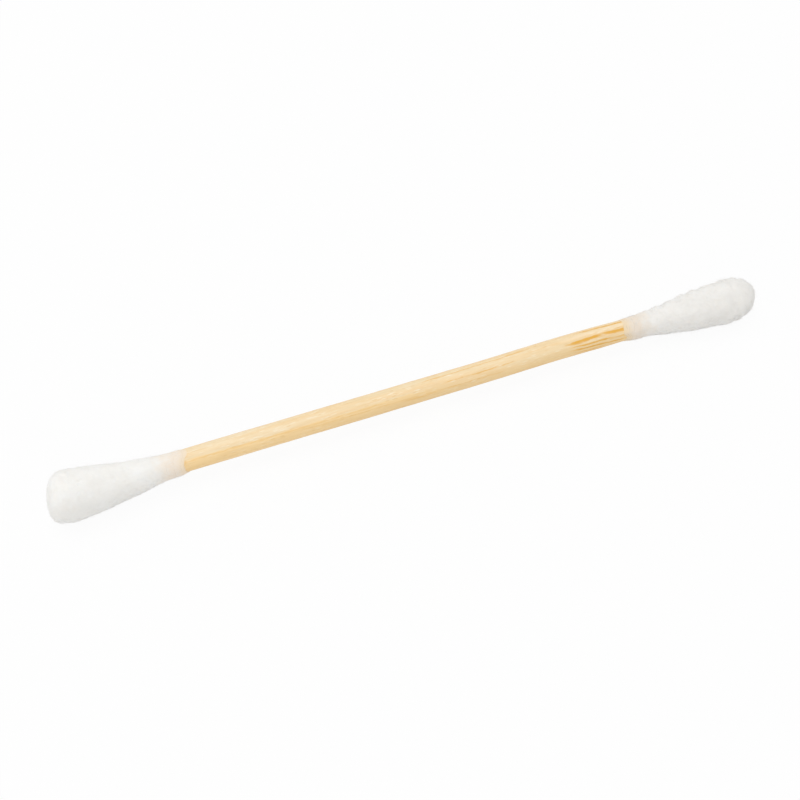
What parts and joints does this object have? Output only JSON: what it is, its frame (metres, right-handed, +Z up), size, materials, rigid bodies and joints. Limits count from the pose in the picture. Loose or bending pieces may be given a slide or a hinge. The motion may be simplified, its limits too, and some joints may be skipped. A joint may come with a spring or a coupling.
{
  "type": "cotton swab",
  "caption": "Double-ended cotton swab: a round bamboo stick with a blunt cotton bud on one end and a slimmer round one on the other.",
  "frame": {"origin": "on the surface that the swab lies on, midway between its two tips and under the stick's axis", "axes": "+X along the stick towards the round bud, +Z up, away from the surface"},
  "size_m": [0.075, 0.0052, 0.0051],
  "materials": {
    "bamboo": "bare split bamboo, fine lengthwise grain",
    "cotton": "wound absorbent cotton, matt and slightly fuzzy"
  },
  "bodies": {
    "root": {"stick": "bamboo", "blunt_bud": "cotton", "round_bud": "cotton"}
  },
  "joints": []
}
